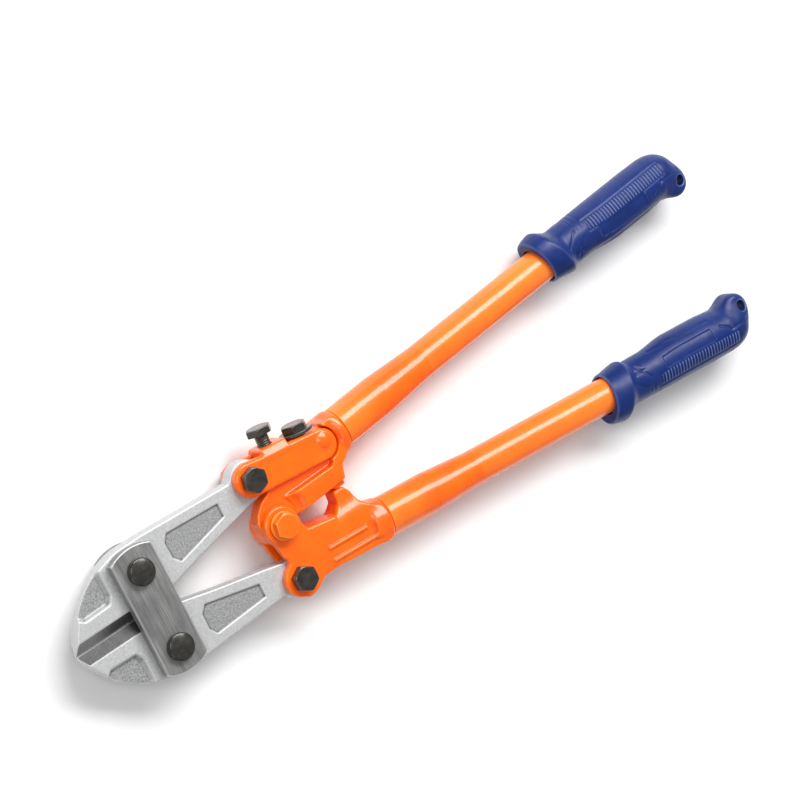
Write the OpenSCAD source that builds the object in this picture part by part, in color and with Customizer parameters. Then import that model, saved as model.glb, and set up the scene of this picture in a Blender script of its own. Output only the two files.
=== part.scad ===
// Bolt cutters with compound jaws, lying flat with the blades closed.
// +X runs from the blades to the grips, +Y to the upper handle and +Z out of the front face.
// Outlines are drawn about the point midway between the two jaw pivots, at the middle of the
// thickness; the module place() moves that point so that the origin is under the middle of the tool.

/* [Jaws] */
// Distance between the two jaw pivots
pivot_gap = 46; // [45:0.5:47]
// Thickness of a jaw at its hub and tail
jaw_t = 9.6; // [9:0.2:10]
// Thickness of the thinner outer part of a blade
nose_t = 4.4; // [3.6:0.2:6]
// Radius of the curved back of a blade
back_r = 55.4; // [55:0.1:56]
// Width of the ground bevel behind a cutting edge
bevel_w = 6.6; // [4:0.2:8]
// Depth of the panel in a jaw's tail
panel_depth = 1; // [0.4:0.1:1.4]
// Radius of a jaw's round tail end
tail_r = 10.8; // [9:0.1:11]

/* [Jaw plates] */
// Width of a plate
plate_w = 27; // [24:1:28]
// Thickness of a plate
plate_t = 6.2; // [5:0.2:7]
// Radius of a plate's curved ends
plate_end_r = 28; // [20:1:40]

/* [Bolts] */
// Radius of a jaw bolt's shank
jaw_bolt_r = 5; // [4:0.5:6]
// Radius of a jaw bolt's domed head
dome_r = 7.7; // [7:0.1:8.5]
// Radius of the shank of the other bolts
bolt_r = 4; // [3:0.5:4]
// Width across the flats of their heads and nuts
hex_af = 13; // [12:0.5:14]
// Running clearance on the radius of every bore
fit = 0.05; // [0.02:0.01:0.1]

/* [Adjuster] */
// Distance from the toggle bolt to the adjuster rivet
adjuster_len = 48; // [47:0.5:49]
// Angle by which the adjuster leans down from the toggle bolt
adjuster_lean = 4.4; // [4:0.1:5]
// Distance from the toggle bolt to the adjusting screw
screw_at = 19.2; // [18.8:0.1:19.6]
// Distance from the toggle bolt to the locking bolt
lock_at = 39; // [38.5:0.1:39.5]

/* [Handles] */
// Thickness of a cheek of either fork
cheek_t = 4.6; // [4:0.2:5.4]
// Angle of each handle to the centre line
splay = 5.05; // [4.5:0.05:5.5]
// Radius of a tube where it fits over its casting
tube_root_r = 11.7; // [11:0.1:12]
// Radius of a tube along the handle
tube_r = 9.9; // [9.6:0.1:10.2]
// Wall thickness of a tube
tube_wall = 1.6; // [1.2:0.1:2]
// Distance from the end of the casting to the start of the grip
grip_at = 152.6; // [140:1:160]
// Radius of the hole in the end of a grip for hanging
hang_r = 3; // [2:0.5:3.5]

/* [Hidden] */
$fn = 64;

steel = [0.72, 0.74, 0.76];
plate_grey = [0.42, 0.43, 0.44];
black = [0.09, 0.10, 0.11];
orange = [0.98, 0.38, 0.05];
blue = [0.14, 0.24, 0.52];

// Places of the pivots
jaw_pivot = [0, pivot_gap / 2];
toggle = [81.7, 30.6];
handle_pivot = [85.3, 0];
// The upper handle's eye turns on the pivot bolt with this much room on the radius
eye_room = 5.1;
// How far the two castings shift past each other half way open, in the upper casting's axes
slip = [1.9, 3.7];

// Levels through the thickness, from the middle
jaw_z = jaw_t / 2;
plate_z = jaw_z + 0.1;
plate_top = plate_z + plate_t;
cheek_z = jaw_z + 0.3;
cheek_top = cheek_z + cheek_t;
tongue_z = 4.8;
boss_h = 1;
washer_t = 1.6;
head_h = 5.3;
screw_head_h = 4.1;
nut_h = 5.4;
thin_nut_h = 3.8;
stub = 0.8;

// The handles
socket_x = 144.2;
upper_socket_y = 25.8;
lower_socket_y = 30.2;
spigot_len = 30;
flange_r = 12.3;
tube_taper = [31, 61];
tube_end = 245;
hook_x = 395.7;
hook_r = 8.3;

// Blade tip, the origin and the height of the middle over the floor
back_c = [2.4, -17.3];
tip_x = back_c.x - sqrt(back_r * back_r - back_c.y * back_c.y);
mid_x = (tip_x + hook_x + hook_r) / 2;
mid_y = (upper_socket_y - lower_socket_y) / 2;
lift = plate_top + washer_t + nut_h + stub;

// ---------- helpers ----------
// n steps along an arc about c, from angle a to angle b
function arc(c, r, a, b, n = 12) = [for (i = [0:n]) c + r * [cos(a + (b - a) * i / n), sin(a + (b - a) * i / n)]];

function unit(v) = v / norm(v);

// The arc that rounds corner q, given as [x, y, radius], between its neighbours p and s
function corner(p, q, s) =
    let (c = [q.x, q.y], u = unit([p.x, p.y] - c), v = unit([s.x, s.y] - c), half = acos(u * v) / 2)
    q[2] == 0 ? [c] :
    let (o = c + unit(u + v) * q[2] / sin(half), a = c + u * q[2] / tan(half) - o, b = c + v * q[2] / tan(half) - o)
    let (from = atan2(a.y, a.x), turn = (atan2(b.y, b.x) - from + 540) % 360 - 180)
    arc(o, q[2], from, from + turn, 5);

// An outline whose corners [x, y, radius] are rounded
function rounded(pts) =
    let (n = len(pts))
    [for (i = [0:n - 1]) each corner(pts[(i + n - 1) % n], pts[i], pts[(i + 1) % n])];

module place() {
    translate([-mid_x, -mid_y, lift]) children();
}

// A slab of the 2-D shape between two levels
module slab(z0, z1) {
    translate([0, 0, z0]) linear_extrude(z1 - z0) children();
}

// A cylinder of radius r along Z through point p
module rod(p, r, z0, z1) {
    translate([p.x, p.y, z0]) cylinder(r = r, h = z1 - z0);
}

module hexagon(p, af, z0, z1, turn = 0) {
    translate([p.x, p.y, z0]) rotate(turn) cylinder(r = af / 2 / cos(30), h = z1 - z0, $fn = 6);
}

module ring(p, outer, inner, z0, z1) {
    difference() {
        rod(p, outer, z0, z1);
        rod(p, inner, z0 - 1, z1 + 1);
    }
}

// The lower half of the tool is the upper half's mirror image
module lower() {
    mirror([0, 1, 0]) children();
}

// The adjuster's own axes: X from the toggle bolt to the rivet
module adjuster_frame() {
    translate([toggle.x, toggle.y, 0]) rotate(-adjuster_lean) children();
}

// A handle's own axes: X along the tube from the casting's end, Y outward
module handle_frame(side) {
    mirror([0, side < 0 ? 1 : 0, 0])
        translate([socket_x, side < 0 ? lower_socket_y : upper_socket_y, 0]) rotate(splay) children();
}

// ---------- jaw head ----------
plate_reach = 37;

module plate() {
    difference() {
        intersection() {
            translate([-plate_w / 2, -plate_reach, 0]) cube([plate_w, 2 * plate_reach, plate_t]);
            union() {
                plate_end();
                lower() plate_end();
            }
        }
        for (s = [-1, 1]) rod([0, s * jaw_pivot.y], jaw_bolt_r + fit, -1, plate_t + 1);
    }
}

module plate_end() {
    translate([0, plate_reach - plate_end_r, 0]) cylinder(r = plate_end_r, h = plate_t);
}

module front_jaw_plate() {
    color(plate_grey) place() translate([0, 0, plate_z]) plate();
}

module rear_jaw_plate() {
    color(plate_grey) place() translate([0, 0, -plate_top]) plate();
}

module jaw_bolt() {
    rim = 3.4;
    crown = 1.6;
    crown_r = (dome_r * dome_r + crown * crown) / (2 * crown);
    color(black) translate([jaw_pivot.x, jaw_pivot.y, 0]) {
        translate([0, 0, -lift]) cylinder(r = jaw_bolt_r, h = lift + plate_top + 1);
        translate([0, 0, plate_top]) cylinder(r = dome_r, h = rim);
        translate([0, 0, plate_top + rim]) intersection() {
            translate([0, 0, crown - crown_r]) sphere(r = crown_r);
            translate([0, 0, -0.5]) cylinder(r = dome_r, h = crown + 1);
        }
    }
}

module jaw_washer() {
    color(black) ring(jaw_pivot, 8.2, jaw_bolt_r + fit, -plate_top - washer_t, -plate_top);
}

module jaw_nut() {
    top = -plate_top - washer_t;
    color(black) difference() {
        hexagon(jaw_pivot, 16, top - nut_h, top, 10);
        rod(jaw_pivot, jaw_bolt_r + fit, top - nut_h - 1, top + 1);
    }
}

// ---------- jaws ----------
function jaw_outline() = concat(
    arc(back_c, back_r, atan2(-back_c.y, tip_x - back_c.x), 95, 16),
    [[12, 37.8], [70, 34.7], [toggle.x, 36], [toggle.x + 1.5, toggle.y - 10.7], [67, 16], [37, 9.8], [-3.5, 0]]);

module jaw() {
    color(steel) difference() {
        union() {
            slab(-jaw_z, jaw_z) polygon(jaw_outline());
            rod(toggle, tail_r, -jaw_z, jaw_z);
        }
        for (s = [-1, 1]) {
            bevel_cut(s);
            nose_cut(s);
            tail_panel(s);
        }
        rod(jaw_pivot, jaw_bolt_r + fit, -jaw_t, jaw_t);
        rod(toggle, bolt_r + fit, -jaw_t, jaw_t);
        // keeps the two cutting edges apart
        translate([tip_x - 1, -1, -jaw_t]) cube([-tip_x - 3, 1.1, 2 * jaw_t]);
    }
}

// The ground face that slopes from the face of the jaw to the cutting edge
module bevel_cut(s) {
    translate([tip_x - 5, 0, 0]) rotate([90, 0, 90])
        linear_extrude(-tip_x + 1) polygon([[0, 0], [bevel_w * 1.5, s * jaw_z * 1.5], [-1, s * jaw_z * 1.5], [-1, 0]]);
}

// The outer part of the blade is thinner than the band beside the cutting edge
module nose_cut(s) {
    land = [[-62, 22, 0], [-43, 18.6, 0], [-37.8, 14.6, 2], [-20.6, 15.2, 3], [-18.2, 19.6, 2], [-18.3, 45, 0], [-62, 45, 0]];
    slab(s > 0 ? nose_t / 2 : -jaw_t, s > 0 ? jaw_t : -nose_t / 2) polygon(rounded(land));
}

module tail_panel(s) {
    edge = [[25.6, 31, 1.5], [60, 29, 0.8], [60, 20.9, 0.8], [26.4, 13.2, 0.8], [22.6, 17.4, 1], [22.3, 26.6, 1]];
    floor_z = jaw_z - panel_depth;
    slab(s > 0 ? floor_z : -jaw_t, s > 0 ? jaw_t : -floor_z) polygon(rounded(edge));
}

// ---------- adjuster ----------
end_c = [adjuster_len - 1.2, -1.9];
end_r = 8.9;
nose_r = 9.9;
pad = [12, 28.4];

module adjuster_cheek() {
    edge = concat(arc([0, 0], nose_r, 270, 92, 14), [[11, 8.8], [38, 7.6]],
        arc(end_c, end_r, 82, -88, 12));
    slab(cheek_z, cheek_top) polygon(edge);
}

module adjuster_fork() {
    color(orange) place() adjuster_frame() difference() {
        union() {
            adjuster_cheek();
            mirror([0, 0, 1]) adjuster_cheek();
            web();
        }
        rod([0, 0], bolt_r + fit, -20, 20);
        rod([adjuster_len, 0], bolt_r, -20, 20);
        translate([screw_at, 0, 0]) rotate([-90, 0, 0]) cylinder(r = bolt_r + fit, h = 30);
    }
}

// The block across the fork that carries the adjusting screw
module web() {
    foot = cheek_top;
    crown = cheek_top - 3.2;
    section = [[4.6, -foot], [7.6, -foot], [11.4, -crown], [11.4, crown], [7.6, foot], [4.6, foot]];
    translate([pad[0], 0, 0]) rotate([90, 0, 90]) linear_extrude(pad[1] - pad[0]) polygon(section);
}

module adjuster_rivet() {
    color(orange) place() adjuster_frame() {
        rod([adjuster_len, 0], bolt_r, -cheek_top, cheek_top);
        for (s = [0, 1]) mirror([0, 0, s]) translate([adjuster_len, 0, cheek_top]) intersection() {
            translate([0, 0, 1.8 - 7.8]) sphere(r = 7.8);
            cylinder(r = 6, h = 3);
        }
    }
}

// A hexagon bolt whose head sits above the level y0, with its shank down to y1
module cross_bolt(x, y0, y1) {
    translate([x, 0, 0]) rotate([-90, 0, 0]) {
        translate([0, 0, y0]) cylinder(r = hex_af / 2 / cos(30), h = screw_head_h, $fn = 6);
        translate([0, 0, y1]) cylinder(r = bolt_r, h = y0 - y1 + 1);
    }
}

module adjusting_screw() {
    color(black) place() adjuster_frame() cross_bolt(screw_at, 17.8, 2.8);
}

// ---------- toggle bolts ----------
module toggle_bolt(turn) {
    color(black) {
        rod(toggle, bolt_r, -cheek_top - washer_t - thin_nut_h - stub, cheek_top + 1);
        hexagon(toggle, hex_af, cheek_top, cheek_top + head_h, turn);
    }
}

module toggle_washer() {
    color(black) ring(toggle, 8, bolt_r + fit, -cheek_top - washer_t, -cheek_top);
}

module toggle_nut(turn) {
    top = -cheek_top - washer_t;
    color(black) difference() {
        hexagon(toggle, hex_af, top - thin_nut_h, top, turn);
        rod(toggle, bolt_r + fit, top - thin_nut_h - 1, top + 1);
    }
}

// ---------- handle castings ----------
boss_r = 10.5;
eye_r = 10.9;

// Upper casting: a thin tongue between the cheeks of both forks, then full thickness to the tube
module upper_handle_casting() {
    tongue = [[74.6, 6, 2], [77, 10.6, 5], [82, 15.4, 8], [88, 18.2, 8], [94.5, 24, 6], [98.6, 31.4, 2],
        [110, 30.8, 1], [111, 33.4, 1], [130, 33.6, 6], [137, 35, 0], [139, 20, 0], [125, 5, 0], [95.9, -1, 0], [85, -6, 0]];
    color(orange) place() difference() {
        union() {
            rod(handle_pivot, eye_r, -tongue_z, tongue_z);
            slab(-tongue_z, tongue_z) polygon(rounded(tongue));
            slab(-stop_z, stop_z) polygon(rounded(upper_stop));
            slab(-casting_z, casting_z) upper_band();
            handle_frame(1) socket_end();
        }
        rod(handle_pivot, bolt_r + eye_room, -20, 20);
        adjuster_frame() {
            rod([adjuster_len, 0], bolt_r + fit, -20, 20);
            translate([lock_at, -9, 0]) rotate([-90, 0, 0]) cylinder(r = bolt_r + fit, h = 30);
        }
    }
}

stop_z = 6.2;
upper_stop = [[121, 6, 0], [121.4, 1.1, 1.5], [125, -0.85, 1], [131.2, -0.85, 1], [131.6, 4, 3], [132.6, 9, 0]];

// The full-thickness band under the adjuster and behind its round end
casting_z = 9.2;
module upper_band() {
    edge = [[96.8, -0.7, 1], [122, 1.4, 0], [131.3, 2.4, 2], [133.4, 10, 3], [138, 11.9, 3], [141.6, 14.6, 0],
        [141.6, 37.2, 0], [137, 35.8, 3], [133, 35.2, 0.5], [133, 25, 0], [128, 13.9, 0], [95.6, 12.3, 1]];
    difference() {
        polygon(rounded(edge));
        adjuster_frame() translate(end_c) circle(r = end_r + 0.8);
        translate(handle_pivot) circle(r = boss_r + 0.8);
        translate(handle_pivot + slip) circle(r = boss_r + 0.8);
    }
}

// The flange where the tube starts and the spigot inside the tube
module socket_end() {
    rotate([0, 90, 0]) {
        translate([0, 0, -4]) cylinder(r = flange_r, h = 4);
        translate([0, 0, -2]) cylinder(r = tube_root_r - tube_wall - fit, h = spigot_len + 2);
    }
}

// Lower casting: a fork that spans the lower jaw's tail and the upper casting's eye
module lower_handle_casting() {
    body = [[95.9, -1, 1], [97.6, -8.8, 1.5], [116.6, -12.1, 3], [121.6, -7.6, 3], [122.3, -1.15, 1], [128.6, -1.15, 2],
        [131.6, -5.6, 4], [133, -12.2, 4], [136.6, -16.2, 4], [142, -17.8, 0], [142, -42, 0], [133, -39.6, 6],
        [118, -38.2, 0], [104, -36.8, 6], [95, -36.8, 6], [86, -40.4, 4], [81.7, -40.8, 0], [81.7, -22, 0], [78, -16, 6],
        [76.4, -6, 2], [80, 0, 0]];
    color(orange) place() difference() {
        union() {
            slab(-cheek_top, cheek_top) polygon(rounded(body));
            rod(handle_pivot, boss_r, -cheek_top, cheek_top + boss_h);
            rod([toggle.x, -toggle.y], nose_r + 0.3, -cheek_top, cheek_top);
            lower() handle_frame_part() socket_end();
        }
        // slot of the fork
        slab(-cheek_z, cheek_z) polygon([[60, 20], [96, 20], [96, -50], [60, -50]]);
        rod(handle_pivot, eye_r + 1, -cheek_z, cheek_z);
        rod(handle_pivot + [slip.x, -slip.y], eye_r + 1, -cheek_z, cheek_z);
        // the stop is thinner than the fork
        for (s = [0, 1]) mirror([0, 0, s]) slab(stop_z, 20) polygon([[121, -8.4], [134.6, -8.4], [134.6, 2], [121, 2]]);
        rod(handle_pivot, bolt_r + fit, -20, 20);
        rod([toggle.x, -toggle.y], bolt_r + fit, -20, 20);
    }
}

module handle_frame_part() {
    translate([socket_x, lower_socket_y, 0]) rotate(splay) children();
}

module handle_pivot_bolt() {
    color(orange) place() {
        rod(handle_pivot, bolt_r, -cheek_top - thin_nut_h - stub, cheek_top + boss_h + 1);
        hexagon(handle_pivot, hex_af, cheek_top + boss_h + 0.8, cheek_top + boss_h + head_h, 20);
    }
}

module handle_pivot_washer() {
    color(orange) place() ring(handle_pivot, 8, bolt_r + fit, cheek_top + boss_h, cheek_top + boss_h + 0.8);
}

module handle_pivot_nut() {
    top = -cheek_top;
    color(orange) place() difference() {
        hexagon(handle_pivot, hex_af, top - thin_nut_h, top, 5);
        rod(handle_pivot, bolt_r + fit, top - thin_nut_h - 1, top + 1);
    }
}

// ---------- locking bolt ----------
lock_seat = 8.4;
lock_washer_t = 1.8;

module locking_bolt() {
    color(black) place() adjuster_frame() cross_bolt(lock_at, lock_seat + lock_washer_t, -8.5);
}

module locking_washer() {
    color(black) place() adjuster_frame() translate([lock_at, 0, 0]) rotate([-90, 0, 0])
        ring([0, 0], 9.4, bolt_r + fit, lock_seat, lock_seat + lock_washer_t);
}

// ---------- tubes and grips ----------
module tube() {
    outer = [[0, tube_root_r], [tube_taper[0], tube_root_r], [tube_taper[1], tube_r], [tube_end, tube_r]];
    inner = [for (i = [3:-1:0]) [outer[i].x, outer[i].y - tube_wall]];
    color(orange) rotate([0, 90, 0]) rotate_extrude() polygon([for (p = concat(outer, inner)) [p.y, p.x]]);
}

// Radius of the grip about its own line, by distance from the casting's end
grip_end = 259;
grip_profile = rounded([[grip_at, 0, 0], [grip_at, 12.6, 1], [grip_at + 8.4, 16, 3], [grip_at + 11.6, 16, 3],
    [grip_at + 19, 12.6, 5], [grip_at + 29, 12.6, 15], [grip_at + 54, 14.2, 30], [grip_at + 76, 13.9, 30],
    [grip_end - 9, 13, 10], [grip_end, 8, 5], [grip_end + 0.5, 0, 0]]);

module grip() {
    hook = [(hook_x - socket_x) / cos(splay), -9.8];
    flat = 7.6;
    color(blue) difference() {
        union() {
            rotate([0, 90, 0]) rotate_extrude() polygon([for (p = grip_profile) [p.y, p.x]]);
            translate([hook.x, hook.y, 0]) rotate_extrude()
                polygon(rounded([[0, -flat, 0], [hook_r, -flat, 5], [hook_r, flat, 5], [0, flat, 0]]));
        }
        rotate([0, 90, 0]) translate([0, 0, grip_at - 1]) cylinder(r = tube_r + fit, h = tube_end - grip_at + 1.5);
        rod(hook + [1.8, -0.2], hang_r, -20, 20);
        for (s = [0, 1]) mirror([0, 0, s]) rod(hook + [1.8, -0.2], hang_r + 1.6, flat, 20);
    }
}

// ---------- assembly ----------
front_jaw_plate();
rear_jaw_plate();
place() jaw_bolt();  // upper_jaw_bolt
place() lower() jaw_bolt();  // lower_jaw_bolt
place() jaw_washer();  // upper_jaw_washer
place() lower() jaw_washer();  // lower_jaw_washer
place() jaw_nut();  // upper_jaw_nut
place() lower() jaw_nut();  // lower_jaw_nut
place() jaw();  // upper_jaw
place() lower() jaw();  // lower_jaw
adjuster_fork();
adjuster_rivet();
adjusting_screw();
place() toggle_bolt(18);  // upper_toggle_bolt
place() toggle_washer();  // upper_toggle_washer
place() toggle_nut(0);  // upper_toggle_nut
place() lower() toggle_bolt(-30);  // lower_toggle_bolt
place() lower() toggle_washer();  // lower_toggle_washer
place() lower() toggle_nut(12);  // lower_toggle_nut
upper_handle_casting();
lower_handle_casting();
handle_pivot_bolt();
handle_pivot_washer();
handle_pivot_nut();
locking_bolt();
locking_washer();
place() handle_frame(1) tube();  // upper_tube
place() handle_frame(-1) tube();  // lower_tube
place() handle_frame(1) grip();  // upper_grip
place() handle_frame(-1) grip();  // lower_grip
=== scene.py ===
import math

import bpy
import numpy as np
from mathutils import Matrix, Vector


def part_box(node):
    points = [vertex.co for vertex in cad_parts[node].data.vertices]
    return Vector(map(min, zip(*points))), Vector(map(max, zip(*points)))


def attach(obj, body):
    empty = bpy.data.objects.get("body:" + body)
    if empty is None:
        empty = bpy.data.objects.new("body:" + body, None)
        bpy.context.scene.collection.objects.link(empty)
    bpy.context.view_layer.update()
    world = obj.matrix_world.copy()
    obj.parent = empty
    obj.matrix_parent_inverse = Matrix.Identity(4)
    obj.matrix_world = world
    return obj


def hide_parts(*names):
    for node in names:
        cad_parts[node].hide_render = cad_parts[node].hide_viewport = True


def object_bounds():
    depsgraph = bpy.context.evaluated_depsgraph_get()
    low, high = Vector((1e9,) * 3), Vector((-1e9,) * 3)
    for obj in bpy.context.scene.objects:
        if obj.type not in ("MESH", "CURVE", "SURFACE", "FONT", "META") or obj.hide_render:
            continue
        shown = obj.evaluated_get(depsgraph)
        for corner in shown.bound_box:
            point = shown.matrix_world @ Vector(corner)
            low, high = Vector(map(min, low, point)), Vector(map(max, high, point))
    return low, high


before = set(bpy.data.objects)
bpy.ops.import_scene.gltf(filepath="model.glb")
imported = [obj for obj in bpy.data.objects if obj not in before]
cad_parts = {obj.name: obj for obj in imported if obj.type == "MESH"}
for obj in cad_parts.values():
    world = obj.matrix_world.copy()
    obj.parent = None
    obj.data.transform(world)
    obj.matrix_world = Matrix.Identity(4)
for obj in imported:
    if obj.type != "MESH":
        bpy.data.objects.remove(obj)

cad_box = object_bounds()

# Pieces are drawn in mm on the tool's own axes: X to the grips, Y to the upper handle, Z out of the
# front face, about the point midway between the jaw pivots. A handle's own axes run along its tube.
MM = 0.001


def middle(*nodes):
    """The middle of the box round some CAD nodes, in the row frame."""
    corners = [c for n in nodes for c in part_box(n)]
    return Vector([(min(c[i] for c in corners) + max(c[i] for c in corners)) / 2 for i in range(3)])


ORIGIN = middle("front_jaw_plate", "rear_jaw_plate")
TOOL = Matrix.Translation(ORIGIN) @ Matrix.Scale(MM, 4)
MIRROR = Matrix.Diagonal((1, -1, 1, 1))


def drawn(node):
    """The middle of a CAD node in the tool's own axes, in mm."""
    return (middle(node) - ORIGIN) / MM


JAW_PIVOT = drawn("upper_jaw_washer").xy
TOGGLE = drawn("upper_toggle_washer").xy
PIVOT = drawn("handle_pivot_washer").xy
RIVET = drawn("adjuster_rivet").xy
LINK = RIVET - TOGGLE
ADJUSTER = TOOL @ Matrix.Translation((*TOGGLE, 0)) @ Matrix.Rotation(math.atan2(LINK.y, LINK.x), 4, "Z")
SPLAY = math.radians(5.05)
SOCKET_X, UPPER_SOCKET_Y, LOWER_SOCKET_Y = 144.2, 25.8, 30.2
UPPER = TOOL @ Matrix.Translation((SOCKET_X, UPPER_SOCKET_Y, 0)) @ Matrix.Rotation(SPLAY, 4, "Z")
LOWER = TOOL @ MIRROR @ Matrix.Translation((SOCKET_X, LOWER_SOCKET_Y, 0)) @ Matrix.Rotation(SPLAY, 4, "Z")

# Levels through the thickness, from the middle
JAW_Z = 4.8
PLATE_Z = 4.9
PLATE_TOP = 11.1
CHEEK_Z = 5.1
CHEEK_TOP = 9.7
TONGUE_Z = 4.8
BAND_Z = 9.2
STOP_Z = 6.2
BOSS_TOP = CHEEK_TOP + 1
WASHER_T = 1.6
HEAD_H = 5.3
NUT_H = 5.4
THIN_NUT_H = 3.8
STUB = 0.8
HEX_AF = 13
BOLT_R = 4
JAW_BOLT_R = 5
JAW_NUT_AF = 16
# A shank this long under the head has no thread
PLAIN_SHANK = 20
FIT = 0.05
# Room left round a part that swings past another
CLEAR = 0.8


# ---------- outlines ----------
def arc(centre, r, start, end, steps=40):
    """Points along an arc, from one angle to another in degrees."""
    turns = [math.radians(start + (end - start) * i / steps) for i in range(steps + 1)]
    return [(centre[0] + r * math.cos(a), centre[1] + r * math.sin(a), 0) for a in turns]


def rounded(points, steps=8):
    """A closed outline whose corners, given as (x, y, radius), are rounded."""
    made = []
    for i, (px, py, r) in enumerate(points):
        p = np.array([px, py])
        if r == 0:
            made.append(p)
            continue
        u = np.array(points[i - 1][:2]) - p
        v = np.array(points[(i + 1) % len(points)][:2]) - p
        u, v = u / np.linalg.norm(u), v / np.linalg.norm(v)
        half = math.acos(max(-1, min(1, u @ v))) / 2
        centre = p + (u + v) / np.linalg.norm(u + v) * r / math.sin(half)
        a = p + u * r / math.tan(half) - centre
        b = p + v * r / math.tan(half) - centre
        start = math.atan2(a[1], a[0])
        turn = (math.atan2(b[1], b[0]) - start + math.pi) % (2 * math.pi) - math.pi
        for k in range(steps + 1):
            angle = start + turn * k / steps
            made.append(centre + r * np.array([math.cos(angle), math.sin(angle)]))
    return np.array(made)


# ---------- solids as fields of distance ----------
class Grid:
    """A block of sample points. A solid is an array of distances over it, negative inside."""

    def __init__(self, low, high, step):
        self.step = step * 1
        self.low = np.array(low, float)
        counts = np.ceil((np.array(high) - self.low) / self.step).astype(int) + 1
        lines = [a + self.step * np.arange(n) for a, n in zip(self.low, counts)]
        self.x, self.y, self.z = np.meshgrid(*lines, indexing="ij", sparse=True)
        self.shape = tuple(counts)


def region(outline, x, y):
    """Distance from a closed outline, negative inside it."""
    best = np.full(np.broadcast(x, y).shape, np.inf)
    inside = np.zeros(best.shape, bool)
    for (ax, ay), (bx, by) in zip(outline, np.roll(outline, -1, 0)):
        ex, ey = bx - ax, by - ay
        length = ex * ex + ey * ey
        if length < 1e-12:
            continue
        wx, wy = x - ax, y - ay
        t = np.clip((wx * ex + wy * ey) / length, 0, 1)
        best = np.minimum(best, (wx - ex * t) ** 2 + (wy - ey * t) ** 2)
        if ey != 0:
            inside ^= ((ay > y) != (by > y)) & (wx < ex * wy / ey)
    return np.where(inside, -np.sqrt(best), np.sqrt(best))


def disc(c, r, x, y):
    return np.hypot(x - c[0], y - c[1]) - r


def both(a, b, edge=0.0):
    """Where two solids overlap, with the edge between them rounded."""
    if edge == 0:
        return np.maximum(a, b)
    corner = np.hypot(np.maximum(a + edge, 0), np.maximum(b + edge, 0))
    return np.minimum(np.maximum(a, b), -edge) + corner


def join(a, b, fillet=0.0):
    """Two solids as one, with a fillet in the corner between them."""
    return -both(-a, -b, fillet)


def cut(a, b, edge=0.0):
    """The first solid without the second, with the edge rounded."""
    return both(a, -b, edge)


def between(v, low, high):
    return np.maximum(low - v, v - high)


def hexagon(x, y, af, turn=0.0):
    """Distance from a hexagon about the origin, with its corners just broken."""
    made = None
    for k in range(3):
        a = math.radians(turn + 60 * k + 30)
        flat = abs(x * math.cos(a) + y * math.sin(a)) - af / 2
        made = flat if made is None else both(made, flat, 0.25)
    return made


def line(a, b, x, y):
    """Distance from a straight line between two points."""
    e = np.array(b, float) - np.array(a, float)
    t = np.clip(((x - a[0]) * e[0] + (y - a[1]) * e[1]) / (e @ e), 0, 1)
    return np.hypot(x - a[0] - t * e[0], y - a[1] - t * e[1])


def ease(v, low, high):
    """0 below low, 1 above high, smooth between."""
    t = np.clip((v - low) / (high - low), 0, 1)
    return t * t * (3 - 2 * t)


def window(v, low, high, soft):
    """1 between low and high, falling smoothly to 0 outside."""
    return ease(v, low - soft, low) * (1 - ease(v, high, high + soft))


# ---------- from a field to a mesh ----------
def sample(values, cells):
    """Values of a grid at points given in cells, by linear blending."""
    base = np.clip(np.floor(cells).astype(int), 0, np.array(values.shape) - 2)
    f = cells - base
    total = 0
    for corner in np.ndindex(2, 2, 2):
        weight = np.prod(np.where(corner, f, 1 - f), axis=1)
        i, j, k = (base + corner).T
        total = total + weight * values[i, j, k]
    return total


def skin(grid, d):
    """Vertices, quads and normals of the surface where the field is zero.

    Each cell that the surface crosses has one vertex.
    """
    d = np.ascontiguousarray(np.broadcast_to(d, grid.shape))
    inside = d < 0
    size = np.array(d.shape) - 1
    count = np.zeros(size, np.uint8)
    for i, j, k in np.ndindex(2, 2, 2):
        count += inside[i:size[0] + i, j:size[1] + j, k:size[2] + k]
    crossed = (count > 0) & (count < 8)
    cells = np.argwhere(crossed)
    number = np.full(size, -1)
    number[crossed] = np.arange(len(cells))
    total, hits = np.zeros((len(cells), 3)), np.zeros((len(cells), 1))
    quads = []
    for axis in range(3):
        u, v = (axis + 1) % 3, (axis + 2) % 3
        for s, t in np.ndindex(2, 2):
            a = np.zeros(3, int)
            a[u], a[v] = s, t
            b = a.copy()
            b[axis] = 1
            da, db = d[tuple((cells + a).T)], d[tuple((cells + b).T)]
            on = (da < 0) != (db < 0)
            share = np.where(on, da / np.where(on, da - db, 1), 0)
            point = np.tile(a.astype(float), (len(cells), 1))
            point[:, axis] = share
            total += point * on[:, None]
            hits += on[:, None]
        here = [slice(1, -1)] * 3
        ahead = list(here)
        here[axis], ahead[axis] = slice(0, -1), slice(1, None)
        change = inside[tuple(here)] != inside[tuple(ahead)]
        edges = np.argwhere(change)
        edges[:, u] += 1
        edges[:, v] += 1
        corners = []
        for s, t in ((0, 0), (1, 0), (1, 1), (0, 1)):
            c = edges.copy()
            c[:, u] -= s
            c[:, v] -= t
            corners.append(number[tuple(c.T)])
        quad = np.stack(corners, 1)
        out = ~inside[tuple(edges.T)]
        quad[out] = quad[out][:, ::-1]
        quads.append(quad)
    points = cells + total / hits
    slopes = np.gradient(d)
    for _ in range(2):
        normals = np.stack([sample(s, points) for s in slopes], 1)
        steep = np.linalg.norm(normals, axis=1, keepdims=True)
        normals /= steep
        shift = sample(d, points)[:, None] / steep
        points -= normals * np.clip(shift, -0.4, 0.4)
    return grid.low + points * grid.step, np.concatenate(quads), normals


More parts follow.
